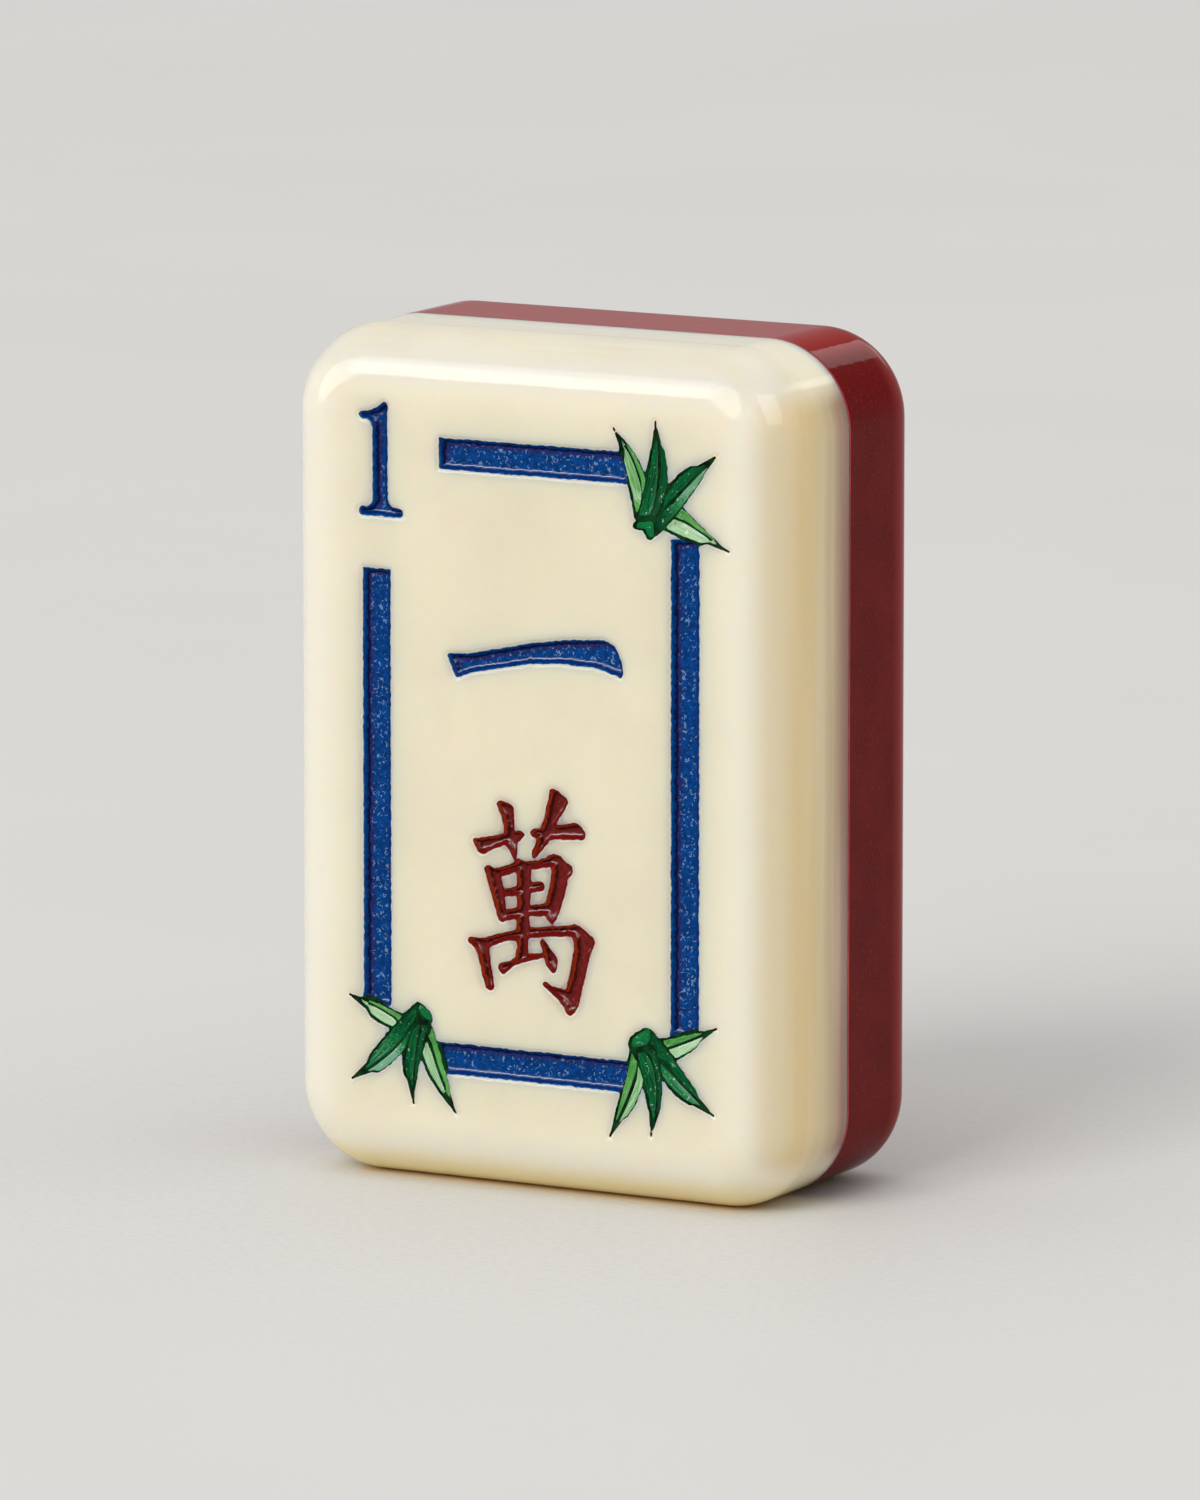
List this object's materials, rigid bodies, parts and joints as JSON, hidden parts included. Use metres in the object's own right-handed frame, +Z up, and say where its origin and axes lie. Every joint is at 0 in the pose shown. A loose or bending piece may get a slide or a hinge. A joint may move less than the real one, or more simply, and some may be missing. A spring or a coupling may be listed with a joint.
{
  "type": "mahjong tile",
  "caption": "Two-layer game tile: a cream front block with engraved and painted figures, a frame of bars and leaf sprays, bonded to a plain dark red back block",
  "frame": {"origin": "middle of the short end that the tile stands on, halfway through its thickness", "axes": "X to the right of the engraved face, Y from the engraved face to the back, Z up along the tile's height"},
  "size_m": [0.02, 0.01, 0.03],
  "materials": {
    "cream_plastic": "polished cream plastic",
    "red_glue": "clear bright red glue line",
    "dark_red_plastic": "polished dark red plastic",
    "blue_paint": "glossy blue enamel",
    "brown_red_paint": "glossy brown red enamel",
    "dark_leaf_paint": "glossy dark green enamel",
    "light_leaf_paint": "glossy light green enamel",
    "line_paint": "glossy green black enamel"
  },
  "bodies": {
    "root": {"front_block": "cream_plastic", "bond_layer": "red_glue", "back_block": "dark_red_plastic", "numeral_paint": "blue_paint", "top_bar_paint": "blue_paint", "right_bar_paint": "blue_paint", "bottom_bar_paint": "blue_paint", "left_bar_paint": "blue_paint", "stroke_paint": "blue_paint", "left_grass_paint": "brown_red_paint", "right_grass_paint": "brown_red_paint", "character_body_paint": "brown_red_paint", "top_right_up_leaf": "dark_leaf_paint", "top_right_side_leaf": "dark_leaf_paint", "top_right_left_leaf": "light_leaf_paint", "top_right_low_leaf": "light_leaf_paint", "top_right_stem": "dark_leaf_paint", "top_right_outline": "line_paint", "bottom_left_side_leaf": "dark_leaf_paint", "bottom_left_down_leaf": "dark_leaf_paint", "bottom_left_upper_leaf": "light_leaf_paint", "bottom_left_right_leaf": "light_leaf_paint", "bottom_left_stem": "dark_leaf_paint", "bottom_left_outline": "line_paint", "bottom_right_side_leaf": "dark_leaf_paint", "bottom_right_down_leaf": "dark_leaf_paint", "bottom_right_upper_leaf": "light_leaf_paint", "bottom_right_left_leaf": "light_leaf_paint", "bottom_right_stem": "dark_leaf_paint", "bottom_right_outline": "line_paint"}
  },
  "joints": []
}
